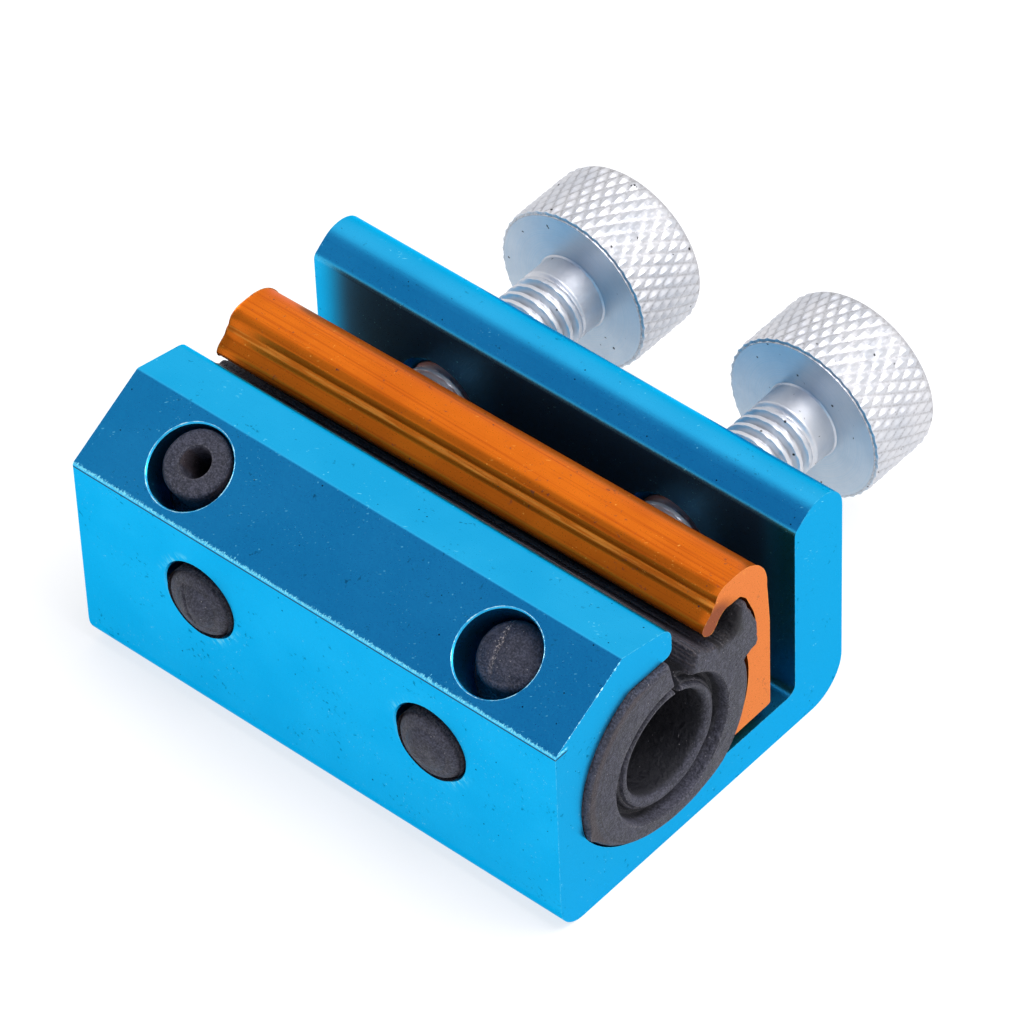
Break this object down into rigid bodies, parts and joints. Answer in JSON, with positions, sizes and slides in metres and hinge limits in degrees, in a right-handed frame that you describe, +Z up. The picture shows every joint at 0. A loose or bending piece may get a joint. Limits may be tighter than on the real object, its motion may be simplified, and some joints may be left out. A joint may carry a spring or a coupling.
{
  "type": "cable lubricator clamp",
  "caption": "Clamp-on cable oiler: extruded block with a split rubber sleeve, a spray port and a hooked plate closed by knurled thumbscrews.",
  "frame": {"origin": "under the middle of the tool's bounding box, on the plane that the block stands on", "axes": "+X along the cable bore, +Y from the ported jaw towards the thumbscrew heads, +Z up"},
  "size_m": [0.045, 0.0478, 0.0216],
  "materials": {
    "blue_anodised": "satin blue anodised",
    "black_rubber": "matte moulded",
    "orange_anodised": "satin orange anodised",
    "bright_zinc": "bright zinc plated"
  },
  "bodies": {
    "block": {"body_block": "blue_anodised", "rubber_sleeve": "black_rubber"},
    "plate": {"clamp_plate": "orange_anodised"},
    "left_screw": {"thumbscrew_left": "bright_zinc"},
    "right_screw": {"thumbscrew_right": "bright_zinc"}
  },
  "joints": [
    {"name": "plate_slide", "type": "slide", "parent": "block", "child": "plate", "axis": [0, -1, 0], "range_m": [-0.00241, 0.00181], "deforming": ["rubber_sleeve"]},
    {"name": "left_screw_turn", "type": "hinge", "parent": "plate", "child": "left_screw", "pos_m": [-0.0106, 0.01, 0.0115], "axis": [0, -1, 0], "range_deg": [-864, 648]},
    {"name": "right_screw_turn", "type": "hinge", "parent": "plate", "child": "right_screw", "pos_m": [0.0106, 0.01, 0.0115], "axis": [0, -1, 0], "range_deg": [-865, 649]}
  ],
  "couplings": [
    {"joint": "plate_slide", "follows": "left_screw_turn", "m_per_rad": 0.00015915},
    {"joint": "right_screw_turn", "follows": "left_screw_turn", "ratio": 1}
  ]
}
